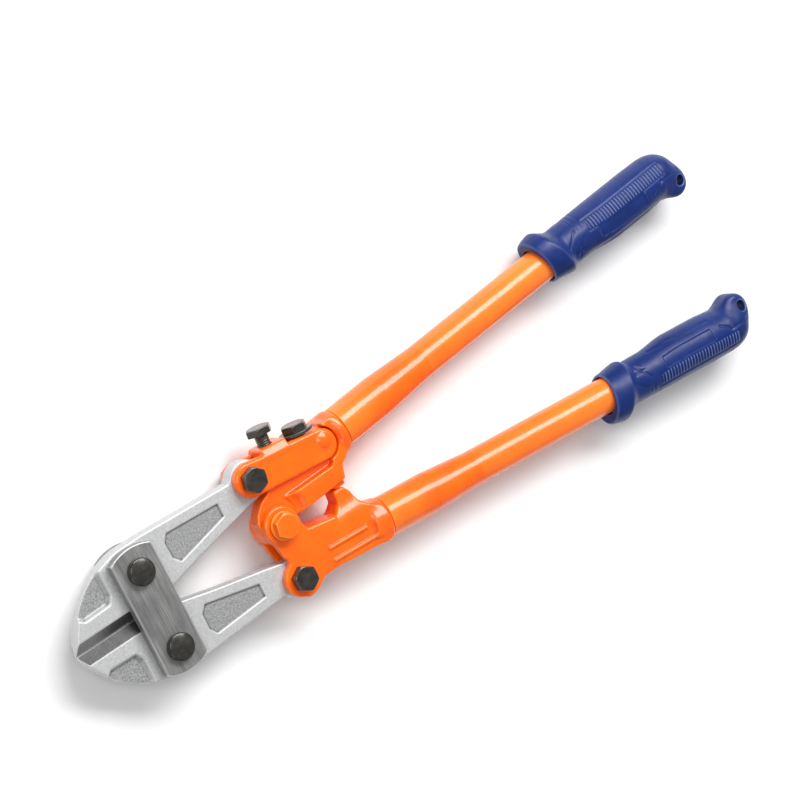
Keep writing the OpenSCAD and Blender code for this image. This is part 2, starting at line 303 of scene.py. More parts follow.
def lathe(profile, segments=96, axis=2):
    """Vertices, faces and no normals of an outline (distance along, radius) turned about an axis.

    The outline is a closed ring, or runs from pole to pole when it starts and ends on the axis.
    """
    along, radius = np.array(profile)[:, 0], np.array(profile)[:, 1]
    turns = 2 * np.pi * np.arange(segments) / segments
    n = len(along)
    poles = radius[0] == 0 and radius[-1] == 0
    points = np.zeros((segments, n, 3))
    points[..., axis] = along
    points[..., (axis + 1) % 3] = radius * np.cos(turns)[:, None]
    points[..., (axis + 2) % 3] = radius * np.sin(turns)[:, None]
    i, j = np.meshgrid(np.arange(segments), np.arange(n - 1 if poles else n), indexing="ij")
    i2, j2 = (i + 1) % segments, (j + 1) % n
    faces = np.stack([i * n + j, i2 * n + j, i2 * n + j2, i * n + j2], -1).reshape(-1, 4)
    if poles:
        faces = np.where(faces % n == 0, 0, np.where(faces % n == n - 1, n - 1, faces))
    used, faces = np.unique(faces, return_inverse=True)
    return points.reshape(-1, 3)[used], faces.reshape(-1, 4), None


def piece(name, node, shape, place, body, coat, marks=None):
    """A mesh object in place of a CAD node, from (vertices, quads, normals) in mm, riding on a body.

    A coat is a slot name, which is not used, and its material. Marks are named values at the vertices, for
    the material.
    """
    slot, look = coat
    points, quads, normals = shape
    turn = np.array(place.to_3x3()) / MM
    if np.linalg.det(turn) < 0:
        quads = quads[:, ::-1]
    world = points @ (turn * MM).T + np.array(place.translation)
    if normals is None:
        normals = weighted_normals(world, quads)
    else:
        normals = normals @ turn.T
    mesh = bpy.data.meshes.new(name)
    mesh.vertices.add(len(world))
    mesh.vertices.foreach_set("co", world.astype(np.float32).ravel())
    # a quad at a pole has one corner twice, and is a triangle
    kept = quads != np.roll(quads, 1, 1)
    counts = kept.sum(1)
    mesh.loops.add(int(counts.sum()))
    mesh.loops.foreach_set("vertex_index", quads[kept].astype(np.int32))
    mesh.polygons.add(len(quads))
    mesh.polygons.foreach_set("loop_start", (np.cumsum(counts) - counts).astype(np.int32))
    mesh.polygons.foreach_set("use_smooth", np.ones(len(quads), bool))
    mesh.update(calc_edges=True)
    mesh.normals_split_custom_set_from_vertices(normals.astype(np.float32))
    marks = dict(marks or {})
    marks["bend"] = bend(world / MM, quads, normals)
    for mark, values in marks.items():
        layer = mesh.attributes.new(mark, "FLOAT", "POINT")
        layer.data.foreach_set("value", np.asarray(values, np.float32))
    mesh.materials.append(look)
    obj = bpy.data.objects.new(name, mesh)
    bpy.context.collection.objects.link(obj)
    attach(obj, body)
    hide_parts(node)


def part(node, made, shape, place, body, coat):
    """A piece whose name is its CAD node's with the way it is made."""
    piece(f"{node}_{made}", node, shape, place, body, coat)


def weighted_normals(points, quads):
    """A normal for each vertex, from its faces by their area."""
    a, b = points[quads[:, 2]] - points[quads[:, 0]], points[quads[:, 3]] - points[quads[:, 1]]
    area = np.cross(a, b)
    normals = np.zeros_like(points)
    for k in range(4):
        np.add.at(normals, quads[:, k], area)
    return normals / np.maximum(np.linalg.norm(normals, axis=1, keepdims=True), 1e-12)


def bend(points, quads, normals):
    """How sharply the surface bends at each vertex, per mm: above 0 on an edge and below 0 in a corner."""
    a, b = quads.ravel(), np.roll(quads, -1, 1).ravel()
    way = points[b] - points[a]
    length = np.maximum((way ** 2).sum(1), 1e-6)
    turn = ((normals[b] - normals[a]) * way).sum(1) / length
    count = np.bincount(a, minlength=len(points)) + np.bincount(b, minlength=len(points))
    values = np.bincount(a, turn, len(points)) + np.bincount(b, turn, len(points))
    values /= np.maximum(count, 1)
    for _ in range(2):
        spread = np.bincount(a, values[b], len(points)) + np.bincount(b, values[a], len(points))
        values = spread / np.maximum(count, 1)
    return np.clip(values, -2, 2)


# ---------- materials ----------
class Look:
    """A material's nodes, built from the shader back."""

    def __init__(self, name):
        self.material = bpy.data.materials.new(name)
        self.material.use_nodes = True
        self.tree = self.material.node_tree
        self.shader = self.tree.nodes["Principled BSDF"]
        self.where = self.node("ShaderNodeTexCoord").outputs["Object"]

    def node(self, kind, **inputs):
        made = self.tree.nodes.new(kind)
        for key, value in inputs.items():
            self.feed(made, key, value)
        return made

    def feed(self, node, key, value):
        if isinstance(value, bpy.types.NodeSocket):
            self.tree.links.new(value, node.inputs[key])
        else:
            node.inputs[key].default_value = value

    def set(self, **inputs):
        for key, value in inputs.items():
            self.feed(self.shader, key.replace("_", " "), value)

    def noise(self, size, stretch=(1, 1, 1), turn=0.0, detail=2.0, rough=0.5):
        """Noise whose features are about size mm across, longer along an axis whose stretch is above 1."""
        scale = [1 / (size * MM * s) for s in stretch]
        place = self.node("ShaderNodeMapping", Vector=self.where, Rotation=(0, 0, turn), Scale=scale)
        return self.node("ShaderNodeTexNoise", Vector=place.outputs[0], Scale=1.0, Detail=detail,
                         Roughness=rough).outputs["Fac"]

    def mark(self, name):
        made = self.node("ShaderNodeAttribute")
        made.attribute_name = name
        return made.outputs["Fac"]

    def scaled(self, value, low, high, to_low=0.0, to_high=1.0):
        made = self.node("ShaderNodeMapRange")
        for i, v in enumerate((value, low, high, to_low, to_high)):
            self.feed(made, i, v)
        return made.outputs[0]

    def sum(self, a, b, kind="ADD"):
        made = self.node("ShaderNodeMath")
        made.operation = kind
        self.feed(made, 0, a)
        self.feed(made, 1, b)
        return made.outputs[0]

    def mix(self, share, a, b):
        made = self.node("ShaderNodeMix")
        made.data_type = "RGBA"
        for key, value in (("Factor", share), ("A", a), ("B", b)):
            found = [s for s in made.inputs if s.name == key and s.enabled][-1]
            if isinstance(value, bpy.types.NodeSocket):
                self.tree.links.new(value, found)
            else:
                found.default_value = value
        return [s for s in made.outputs if s.enabled][0]

    def bump(self, height, depth, below=None):
        """Bump of the given depth in mm."""
        made = self.node("ShaderNodeBump", Height=height, Strength=1.0, Distance=depth * MM)
        if below is not None:
            self.feed(made, "Normal", below)
        return made.outputs[0]


def rgb(r, g, b):
    """A colour given as 0 to 255 screen values."""
    shares = [v / 255 for v in (r, g, b)]
    return tuple(((s + 0.055) / 1.055) ** 2.4 if s > 0.04 else s / 12.92 for s in shares) + (1.0,)


def orange_enamel():
    look = Look("orange_enamel")
    tone = look.mix(look.scaled(look.noise(14, detail=3), 0.35, 0.65), rgb(253, 97, 0), rgb(255, 106, 0))
    # painted shade: the enamel is darkened towards a deep red in corners, creases and recesses, where the
    # surface bends inward
    painted_corner_shade = look.scaled(look.mark("bend"), -0.05, -0.5)
    tone = look.mix(painted_corner_shade, tone, rgb(216, 62, 0))
    # painted highlight: convex edges are lightened towards a pale orange, as if they caught the light
    edge = look.scaled(look.mark("bend"), 0.2, 0.9, 0, 0.6)
    tone = look.mix(edge, tone, rgb(255, 158, 66))
    peel = look.bump(look.noise(1.6, detail=2), 0.035)
    waves = look.bump(look.noise(7, detail=1), 0.16, peel)
    look.set(Base_Color=tone, Normal=waves, Coat_Weight=0.45, Coat_Roughness=0.07, Specular_IOR_Level=0.35)
    look.set(Roughness=look.scaled(look.noise(5, detail=3), 0.3, 0.7, 0.24, 0.36))
    return look.material


def jaw_steel():
    look = Look("forged_jaw_steel")
    speck = look.noise(0.9, detail=3, rough=0.7)
    grain = look.noise(0.35, detail=2, rough=0.6)
    tone = look.mix(look.scaled(speck, 0.35, 0.65), rgb(184, 185, 186), rgb(210, 210, 210))
    cloud = look.scaled(look.noise(12, detail=3), 0.4, 0.7, 0, 0.5)
    tone = look.mix(cloud, tone, rgb(194, 195, 196))
    pebble = look.noise(0.95, detail=4, rough=0.7)
    floor = look.mix(look.scaled(pebble, 0.38, 0.62), rgb(116, 117, 118), rgb(178, 178, 178))
    tone = look.mix(look.mark("floor"), tone, floor)
    lines = look.noise(0.35, stretch=(0.6, 26, 26), turn=0.03, detail=2)
    ground = look.mix(look.scaled(lines, 0.35, 0.65), rgb(50, 50, 50), rgb(76, 76, 75))
    tone = look.mix(look.mark("ground"), tone, ground)
    # painted highlight: convex edges are lightened towards near-white
    tone = look.mix(look.scaled(look.mark("bend"), 0.3, 1.0, 0, 0.45), tone, rgb(232, 233, 234))
    # painted shade: inner corners, such as the foot of the panel walls, are darkened
    tone = look.mix(look.scaled(look.mark("bend"), -0.08, -0.5, 0, 0.85), tone, rgb(78, 79, 80))
    rough = look.scaled(speck, 0.3, 0.7, 0.42, 0.58)
    rough = look.sum(rough, look.sum(look.mark("ground"), 0.12, "MULTIPLY"), "SUBTRACT")
    pits = look.bump(look.noise(1.1, detail=4, rough=0.7), 0.06)
    fine = look.bump(grain, 0.03, pits)
    look.set(Base_Color=tone, Metallic=0.45, Roughness=rough, Normal=fine)
    return look.material


def plate_steel():
    look = Look("ground_plate_steel")
    lines = look.noise(0.45, stretch=(1, 40, 10), turn=0.12, detail=3, rough=0.6)
    cloud = look.noise(9, stretch=(1, 2, 1), detail=3)
    tone = look.mix(look.scaled(lines, 0.32, 0.68), rgb(120, 120, 119), rgb(164, 164, 163))
    tone = look.mix(look.scaled(cloud, 0.38, 0.66, 0, 0.7), tone, rgb(112, 112, 112))
    # painted highlight: the chamfered edges are lightened towards near-white
    tone = look.mix(look.scaled(look.mark("bend"), 0.2, 0.9, 0, 0.9), tone, rgb(226, 226, 226))
    look.set(Base_Color=tone, Metallic=0.55, Roughness=look.scaled(lines, 0.3, 0.7, 0.36, 0.52))
    look.set(Normal=look.bump(look.noise(0.8, detail=3, rough=0.6), 0.025, look.bump(lines, 0.012)))
    return look.material


def black_oxide():
    look = Look("black_oxide")
    cloud = look.noise(3.5, detail=4, rough=0.6)
    tone = look.mix(look.scaled(cloud, 0.35, 0.7), rgb(38, 37, 33), rgb(60, 57, 51))
    # painted highlight: convex edges, such as the rim of the domed heads, are lightened
    tone = look.mix(look.scaled(look.mark("bend"), 0.3, 1.4, 0, 0.4), tone, rgb(112, 112, 108))
    # painted shade: inner corners, such as thread roots, are darkened almost to black
    tone = look.mix(look.scaled(look.mark("bend"), -0.1, -0.8, 0, 0.9), tone, rgb(9, 9, 9))
    look.set(Base_Color=tone, Metallic=0.3, Roughness=look.scaled(cloud, 0.3, 0.7, 0.24, 0.4))
    look.set(Coat_Weight=0.5, Coat_Roughness=0.14)
    look.set(Normal=look.bump(look.noise(0.5, detail=3, rough=0.6), 0.02))
    return look.material


def blue_vinyl():
    look = Look("blue_vinyl")
    cloud = look.noise(10, detail=3)
    tone = look.mix(look.scaled(cloud, 0.35, 0.65), rgb(15, 38, 97), rgb(21, 44, 108))
    # painted highlight: rib crests and other convex edges are lightened towards a pale blue
    tone = look.mix(look.scaled(look.mark("bend"), 0.15, 0.8, 0, 0.75), tone, rgb(112, 132, 184))
    # painted shade: grooves and inner corners are darkened
    tone = look.mix(look.scaled(look.mark("bend"), -0.1, -0.8, 0, 0.6), tone, rgb(10, 22, 62))
    mottle = look.bump(look.noise(0.8, detail=3, rough=0.6), 0.03)
    look.set(Base_Color=tone, Normal=look.bump(look.noise(6, detail=1), 0.12, mottle))
    look.set(Roughness=look.scaled(look.noise(3, detail=3), 0.3, 0.7, 0.3, 0.44), Specular_IOR_Level=0.3)
    return look.material


ENAMEL = ("orange_paint", orange_enamel())
STEEL = ("jaw_steel", jaw_steel())
PLATE = ("plate_steel", plate_steel())
BLACK = ("black_oxide", black_oxide())
VINYL = ("blue_vinyl", blue_vinyl())


# ---------- jaws ----------
BACK_C = (2.4, -17.3)
BACK_R = 55.4
BEVEL_W = 6.6
NOSE_Z = 2.2
PANEL_Z = 3.8
TAIL_R = 10.8
EDGE_GAP = 0.1


def jaw():
    grid = Grid((-52.5, -1.2, -5.5), (93.2, 43, 5.5), 0.4)
    x, y, z = grid.x, grid.y, abs(grid.z)
    tip_angle = 180 - math.degrees(math.asin(-BACK_C[1] / BACK_R))
    outline = arc(BACK_C, BACK_R, tip_angle, 96)
    outline += [(12, 37.8, 20), (70, 34.7, 4), (TOGGLE.x, 36, 0), (TOGGLE.x + 1.5, TOGGLE.y - 10.7, 0)]
    outline += [(67, 16, 4), (37, 9.8, 30), (-3.5, 0, 2)]
    side = region(rounded(outline), x, y)
    side = join(side, disc(TOGGLE, TAIL_R, x, y), 2)
    # the forging's draft, and the flash line round its middle
    side = side + 0.045 * (z - 2.4) - 0.12 * np.exp(-((z / 0.6) ** 2))
    d = both(side, z - JAW_Z, 0.8)
    # ground face behind the cutting edge
    slope = (z * BEVEL_W - y * JAW_Z) / math.hypot(BEVEL_W, JAW_Z)
    d = both(d, np.minimum(slope, -4 - x), 0.2)
    d = both(d, np.where(x < -3, EDGE_GAP - y, -1))
    # the blade is thinner outside a band along the cutting edge
    land = [(-70, 23, 0), (-43, 18.4, 0), (-37.8, 14.4, 2), (-20.8, 15, 3), (-18.2, 19.6, 2)]
    land += [(-18.3, 60, 0), (-70, 60, 0)]
    hollow = both(region(rounded(land), x, y) + 0.5 * (JAW_Z - z), NOSE_Z - z, 1)
    d = cut(d, hollow, 0.6)
    # sunk panel of the tail
    edge = [(25.6, 31, 1.5), (60, 29, 0.8), (60, 20.9, 0.8), (26.4, 13.2, 0.8), (22.6, 17.4, 1)]
    edge += [(22.3, 26.6, 1)]
    panel = region(rounded(edge), x, y)
    d = cut(d, both(panel + 0.45 * (JAW_Z - z), PANEL_Z - z, 0.3), 0.3)
    d = cut(d, disc(JAW_PIVOT, JAW_BOLT_R + FIT, x, y))
    d = cut(d, disc(TOGGLE, BOLT_R + FIT, x, y))
    points, quads, normals = skin(grid, d)
    px, py, pz = points[:, 0], points[:, 1], abs(points[:, 2])
    low = (pz < PANEL_Z + 0.25) & (region(rounded(edge), px, py) < 0.2)
    low |= (pz < NOSE_Z + 0.15) & (abs(normals[:, 2]) > 0.9)
    facing = (abs(normals[:, 2]) * BEVEL_W - normals[:, 1] * JAW_Z) / math.hypot(BEVEL_W, JAW_Z)
    marks = {"floor": low * 0.85, "ground": (facing > 0.96) & (px < -3.9)}
    return (points, quads, normals), marks


# ---------- the head ----------
PLATE_W = 27
PLATE_REACH = 37
PLATE_END_R = 28


def plate(z0, z1):
    grid = Grid((-14, -37.6, z0 - 0.6), (14, 37.6, z1 + 0.6), 0.32)
    x, y, z = grid.x, abs(grid.y), grid.z
    side = both(abs(x) - PLATE_W / 2, disc((0, PLATE_REACH - PLATE_END_R), PLATE_END_R, x, y), 0.5)
    middle_z, half = (z0 + z1) / 2, (z1 - z0) / 2
    face = abs(z - middle_z) - half
    d = both(side, face, 0.25)
    d = both(d, (abs(x) - PLATE_W / 2 + face + 0.75) / math.sqrt(2), 0.25)
    d = cut(d, disc(JAW_PIVOT, JAW_BOLT_R + FIT, x, y), 0.3)
    return skin(grid, d)


def ring(outer, inner, low, high, edge=0.3):
    outline = [(low, inner, edge * 0.6), (low, outer, edge), (high, outer, edge), (high, inner, edge * 0.6)]
    return lathe(rounded(outline, 5))


def thread(r, x, y, z, pitch=1.25, depth=0.5):
    """A threaded rod along Z."""
    turn = np.arctan2(y, x) / (2 * np.pi)
    wave = abs((z / pitch - turn) % 1 - 0.5) * 2
    return (np.hypot(x, y) - r + depth * np.clip(wave * 1.25 - 0.1, 0, 1)) * 0.8


def hex_bolt(af, low, high, end, r=BOLT_R, turn=0.0, plain=0.0):
    """A bolt along Z: its head lies between two levels and its threaded shank ends at a third."""
    grid = Grid((-af * 0.6, -af * 0.6, end - 0.6), (af * 0.6, af * 0.6, high + 0.6), 0.26)
    x, y, z = grid.x, grid.y, grid.z
    radius = np.hypot(x, y)
    head = both(hexagon(x, y, af, turn), between(z, low, high), 0.22)
    # the corners are turned off at 30 degrees
    head = both(head, (radius * 0.5 + z * 0.87) - (af / 2 * 0.97 * 0.5 + high * 0.87), 0.15)
    shank = np.where(z > low - plain, radius - r, thread(r, x, y, z))
    shank = both(shank, between(z, end, (low + high) / 2))
    shank = both(shank, (radius + (end - z)) / math.sqrt(2) - (r - 0.8) / math.sqrt(2), 0.1)
    return skin(grid, join(head, shank, 0.25))


def hex_nut(af, low, high, r=BOLT_R, turn=0.0):
    grid = Grid((-af * 0.6, -af * 0.6, low - 0.6), (af * 0.6, af * 0.6, high + 0.6), 0.26)
    x, y, z = grid.x, grid.y, grid.z
    radius = np.hypot(x, y)
    d = both(hexagon(x, y, af, turn), between(z, low, high), 0.22)
    for s in (-1, 1):
        level = s * z - (high if s > 0 else -low)
        d = both(d, radius * 0.5 + level * 0.87 - af / 2 * 0.97 * 0.5, 0.15)
    d = cut(d, radius - r - FIT, 0.3)
    return skin(grid, d)


def jaw_bolt():
    """A domed head with a raised rim line, and a shank through to the nut."""
    top, rim, r = PLATE_TOP + 3.4, 0.35, 7.7
    crown = arc((top + 1.6 - 19.4, 0), 19.4, 0, math.degrees(math.asin(7.2 / 19.4)), 24)
    outline = list(crown)
    outline += [(top - 0.15, r - 0.1, 0.3), (PLATE_TOP + rim, r, 0.4), (PLATE_TOP, r - 0.3, 0.1)]
    end = -PLATE_TOP - WASHER_T - NUT_H - STUB
    outline += [(PLATE_TOP, JAW_BOLT_R, 0), (end + 0.6, JAW_BOLT_R, 0.1), (end, 4.4, 0.1), (end, 0, 0)]
    return lathe(rounded(outline, 5))


for side, name in ((1, "upper"), (-1, "lower")):
    half = TOOL if side > 0 else TOOL @ MIRROR
    shape, marks = jaw()
    # painted shade: on the upper jaw the bevel is darkened more towards the plate, which shades it, and
    # stays lighter towards the tip
    if side > 0:
        marks["ground"] = marks["ground"] * (0.5 + 0.45 * ease(shape[0][:, 0], -40, -22))
    piece(f"{name}_jaw_forging", f"{name}_jaw", shape, half, f"{name}_jaw", STEEL, marks)
    at = half @ Matrix.Translation((*JAW_PIVOT, 0))
    low = -PLATE_TOP - WASHER_T
    part(f"{name}_jaw_bolt", "turned", jaw_bolt(), at, "jaw_head", BLACK)
    washer = ring(8.2, JAW_BOLT_R + FIT, low, -PLATE_TOP)
    part(f"{name}_jaw_washer", "turned", washer, at, "jaw_head", BLACK)
    nut = hex_nut(JAW_NUT_AF, low - NUT_H, low, JAW_BOLT_R, 10)
    part(f"{name}_jaw_nut", "cut", nut, at, "jaw_head", BLACK)
    at = half @ Matrix.Translation((*TOGGLE, 0))
    body = "adjuster" if side > 0 else "lower_handle"
    low = -CHEEK_TOP - WASHER_T
    head_turn, nut_turn = (18, 0) if side > 0 else (-30, 12)
    end = low - THIN_NUT_H - STUB
    bolt = hex_bolt(HEX_AF, CHEEK_TOP, CHEEK_TOP + HEAD_H, end, turn=head_turn, plain=PLAIN_SHANK)
    part(f"{name}_toggle_bolt", "cut", bolt, at, body, BLACK)
    washer = ring(8, BOLT_R + FIT, low, low + WASHER_T)
    part(f"{name}_toggle_washer", "turned", washer, at, body, BLACK)
    nut = hex_nut(HEX_AF, low - THIN_NUT_H, low, turn=nut_turn)
    part(f"{name}_toggle_nut", "cut", nut, at, body, BLACK)

for name, z0 in (("front", PLATE_Z), ("rear", -PLATE_TOP)):
    shape = plate(z0, z0 + PLATE_TOP - PLATE_Z)
    part(f"{name}_jaw_plate", "ground", shape, TOOL, "jaw_head", PLATE)


# ---------- adjuster ----------
ADJUSTER_LEN = LINK.length
END_C = (ADJUSTER_LEN - 1.2, -1.9)
END_R = 8.9
NOSE_R = 9.9
PAD = (12, 28.4)
SCREW_X = 19.2
LOCK_X = 39
LOCK_SEAT = 8.4
LOCK_WASHER_T = 1.8
LOCK_WASHER_R = 9.4
LOCK_HEAD_H = 4.1
LOCK_END = -8.5
SCREW_HEAD = (17.8, 21.9)
SCREW_END = 2.8
BOLT_TURN = -3


def adjuster():
    grid = Grid((-10.6, -11.6, -10.6), (56.4, 12.2, 10.6), 0.38)
    x, y, z = grid.x, grid.y, abs(grid.z)
    edge = arc((0, 0), NOSE_R, 270, 92) + [(11, 8.8, 4), (38, 7.6, 0)] + arc(END_C, END_R, 82, -88)
    side = region(rounded(edge), x, y)
    d = both(side, z - CHEEK_TOP, 2.1)
    d = both(d, CHEEK_Z - z, 0.5)
    middle_x, half = sum(PAD) / 2, (PAD[1] - PAD[0]) / 2
    block = both(y - 11.4, z - CHEEK_TOP, 1.2)
    # the pad's shoulder leans back
    block = both(block, (y - 7.4) * 0.454 + (z - CHEEK_TOP) * 0.891, 0.8)
    block = both(block, abs(x - middle_x) - half, 1.2)
    block = both(block, 4.6 - y, 0.5)
    d = join(d, block, 0.8)
    d = cut(d, np.hypot(x, y) - BOLT_R - FIT, 0.2)
    d = cut(d, np.hypot(x - ADJUSTER_LEN, y) - BOLT_R, 0.2)
    d = cut(d, np.maximum(np.hypot(x - SCREW_X, z) - BOLT_R - FIT, -y), 0.5)
    return skin(grid, d)


def rivet():
    outline = arc((CHEEK_TOP + 1.8 - 7.8, 0), 7.8, 0, 36, 16)
    outline += [(CHEEK_TOP + 0.12, 5.3, 0.6), (CHEEK_TOP, 5.9, 0.05), (CHEEK_TOP, 4, 0)]
    return lathe(rounded(outline + [(-a, r, s) for a, r, s in reversed(outline)], 5))


# Bolts that stand out of the adjuster, with Z out of it
SCREW_AXES = ADJUSTER @ Matrix.Rotation(math.radians(-90), 4, "X")
LOCK = SCREW_AXES @ Matrix.Translation((LOCK_X, 0, 0))
SCREW = SCREW_AXES @ Matrix.Translation((SCREW_X, 0, 0))
RIVET_PLACE = ADJUSTER @ Matrix.Translation((ADJUSTER_LEN, 0, 0))
piece("adjuster_casting", "adjuster_fork", adjuster(), ADJUSTER, "adjuster", ENAMEL)
part("adjuster_rivet", "formed", rivet(), RIVET_PLACE, "adjuster", ENAMEL)
screw = hex_bolt(HEX_AF, *SCREW_HEAD, SCREW_END, turn=BOLT_TURN)
part("adjusting_screw", "cut", screw, SCREW, "adjusting_screw", BLACK)
seat = LOCK_SEAT + LOCK_WASHER_T
bolt = hex_bolt(HEX_AF, seat, seat + LOCK_HEAD_H, LOCK_END, turn=BOLT_TURN)
part("locking_bolt", "cut", bolt, LOCK, "locking_bolt", BLACK)
washer = ring(LOCK_WASHER_R, BOLT_R + FIT, LOCK_SEAT, seat, 0.5)
part("locking_washer", "turned", washer, LOCK, "locking_bolt", BLACK)

# ---------- handle castings ----------
BOSS_R = 10.5
EYE_R = 10.9
EYE_HOLE_R = 9.1
# How far the castings shift past each other half way open, in the upper casting's axes
SLIP = Vector((1.9, 3.7))
FLANGE_R = 12.3
SPIGOT_R = 10.05
SPIGOT_LEN = 30
PIVOT_WASHER_T = 0.8


def along_handle(x, y, socket_y):
    """A point's place along a handle's tube, and its distance outward from the tube's line."""
    dx, dy = x - SOCKET_X, y - socket_y
    return dx * math.cos(SPLAY) + dy * math.sin(SPLAY), dy * math.cos(SPLAY) - dx * math.sin(SPLAY)


def collar(d, x, y, z, socket_y, reach):
    """The casting swells into a round collar where the tube starts, and a spigot runs on inside the tube."""
    s, t = along_handle(x, y, socket_y)
    radius = np.hypot(t, z)
    barrel = both(radius - FLANGE_R, between(s, -reach, 0), 2.4)
    d = both(d, s + 1.5, 1)
    # the corners of the casting's square end run into the round
    d = both(d, radius - FLANGE_R - np.maximum(0, -2 - s) * 0.55 - np.maximum(0, -8 - s) * 8, 1.5)
    d = join(d, barrel, 2.5)
    return join(d, both(radius - SPIGOT_R, between(s, -2, SPIGOT_LEN), 0.8))


def bolt_hole(d, c, x, y, edge=0.3):
    return cut(d, disc(c, BOLT_R + FIT, x, y), edge)


def upper_casting():
    grid = Grid((72.6, -13, -12.8), (175.6, 39.5, 12.8), 0.42)
    x, y, z = grid.x, grid.y, abs(grid.z)
    tongue = [(74.6, 6, 2), (77, 10.6, 5), (82, 15.4, 8), (88, 18.2, 8), (94.5, 24, 6), (98.6, 31.4, 2),
              (110, 30.8, 1), (111, 33.4, 1), (130, 33.6, 6), (137, 35, 0), (139, 20, 0), (125, 5, 0),
              (95.9, -1, 0), (85, -6, 0)]
    side = join(region(rounded(tongue), x, y), disc(PIVOT, EYE_R, x, y), 2)
    d = both(side, z - TONGUE_Z, 1.1)
    stop = [(121, 6, 0), (121.4, 1.1, 1.5), (125, -0.85, 1), (131.2, -0.85, 1), (131.6, 4, 3), (132.6, 9, 0)]
    d = join(d, both(region(rounded(stop), x, y), z - STOP_Z, 1.6), 1.5)
    band = [(86, 0, 0), (96.8, -0.7, 0), (122, 1.4, 0), (131.3, 2.4, 2), (133.4, 10, 3), (138, 12.4, 3),
            (143.6, 15, 0), (143.6, 37.4, 0), (137, 35.8, 3), (133, 35.2, 0.5), (133, 25, 0),
            (128.5, 12.3, 3), (86, 11.2, 1)]
    lean = Matrix.Rotation(math.atan2(LINK.y, LINK.x), 2)
    end_c = TOGGLE + lean @ Vector(END_C)
    side = region(rounded(band), x, y)
    swept = ((end_c, END_R + CLEAR), (PIVOT, BOSS_R + CLEAR), (PIVOT + SLIP, BOSS_R + CLEAR))
    for c, r in swept:
        side = cut(side, disc(c, r, x, y), 0.6)
    gap = np.minimum(disc(PIVOT, BOSS_R, x, y), disc(PIVOT + SLIP, BOSS_R, x, y))
    # the face falls away a little below a crease
    crease = 10.7 - 0.123 * (x - 95.6)
    level = TONGUE_Z + (BAND_Z - TONGUE_Z) * ease(gap, 0, 8)
    level = level + 0.13 * np.minimum(y - crease, 0) * window(x, 90, 126, 6)
    d = join(d, both(side, z - level, 0.9), 1.6)
    # room for the fork's end, and for the lower casting's bosses, closed and half way open
    for c, r in swept:
        d = cut(d, both(disc(c, r, x, y), TONGUE_Z - z), 0.6)
    d = collar(d, x, y, z, UPPER_SOCKET_Y, 5.5)
    d = cut(d, disc(PIVOT, EYE_HOLE_R, x, y), 0.3)
    d = bolt_hole(d, RIVET, x, y)
    along = (x - TOGGLE.x) * lean[0][0] + (y - TOGGLE.y) * lean[1][0]
    across = (y - TOGGLE.y) * lean[0][0] - (x - TOGGLE.x) * lean[1][0]
    # tapped hole for the locking bolt
    hole = np.maximum(np.hypot(along - LOCK_X, grid.z) - BOLT_R - FIT, -9 - across)
    return skin(grid, cut(d, hole, 0.4))


def lower_casting():
    grid = Grid((70.4, -45.4, -12.9), (175.6, 12.2, 12.9), 0.44)
    x, y, z = grid.x, grid.y, abs(grid.z)
    body = [(95.9, -1, 1), (97.6, -8.8, 2), (116.6, -12.1, 3), (121.6, -7.6, 3), (122.3, -1.15, 1.5),
            (128.6, -1.15, 2.5), (131.6, -5.6, 4), (133, -12.2, 4), (136.6, -16.2, 4), (144, -18.2, 0),
            (144, -42.6, 0), (133, -39.6, 6), (118, -38.2, 12), (104, -36.8, 12), (95, -36.8, 8),
            (86, -40.4, 4), (81.7, -40.8, 0), (81.7, -22, 0), (78, -16, 6), (76.4, -6, 2), (80, 0, 0)]
    toggle = (TOGGLE.x, -TOGGLE.y)
    side = region(rounded(body), x, y)
    side = join(side, disc(toggle, NOSE_R + 0.3, x, y), 4)
    side = join(side, disc(PIVOT, BOSS_R, x, y), 2)
    d = both(side, z - CHEEK_TOP, 1.9)
    d = join(d, both(disc(PIVOT, BOSS_R, x, y), grid.z - BOSS_TOP, 0.9), 1.2)
    # the stop is thinner than the fork
    fall = ease(y, -19, -7) * window(x, 117, 138, 3)
    d = both(d, z - CHEEK_TOP + (CHEEK_TOP - STOP_Z) * fall, 1.6)
    # two beads run along the face to the collar
    for a, b in (((104.1, -25.1), (128.5, -26.6)), ((103.8, -32.4), (135.5, -34.3))):
        bead = np.hypot(line(a, b, x, y), z - CHEEK_TOP + 0.55) - 1.15
        d = join(d, bead, 0.3)
    d = collar(d, x, -y, z, LOWER_SOCKET_Y, 11)
    # slot of the fork
    slot = region(np.array([(60, 20), (96, 20), (96, -50), (60, -50)]), x, y)
    slot = np.minimum(slot, disc(PIVOT, EYE_R + 1, x, y))
    slot = np.minimum(slot, disc((PIVOT.x + SLIP.x, PIVOT.y - SLIP.y), EYE_R + 1, x, y))
    d = cut(d, both(slot, z - CHEEK_Z, 0.3), 0.7)
    d = bolt_hole(d, PIVOT, x, y)
    return skin(grid, bolt_hole(d, toggle, x, y))


part("upper_handle_casting", "shape", upper_casting(), TOOL, "upper_handle", ENAMEL)
part("lower_handle_casting", "shape", lower_casting(), TOOL, "lower_handle", ENAMEL)
at = TOOL @ Matrix.Translation((*PIVOT, 0))
seat = BOSS_TOP + PIVOT_WASHER_T
end = -CHEEK_TOP - THIN_NUT_H - STUB
bolt = hex_bolt(HEX_AF, seat, BOSS_TOP + HEAD_H, end, turn=20, plain=PLAIN_SHANK)
part("handle_pivot_bolt", "cut", bolt, at, "lower_handle", ENAMEL)
washer = ring(8, BOLT_R + FIT, BOSS_TOP, seat)
part("handle_pivot_washer", "turned", washer, at, "lower_handle", ENAMEL)
nut = hex_nut(HEX_AF, -CHEEK_TOP - THIN_NUT_H, -CHEEK_TOP, turn=5)
part("handle_pivot_nut", "cut", nut, at, "lower_handle", ENAMEL)

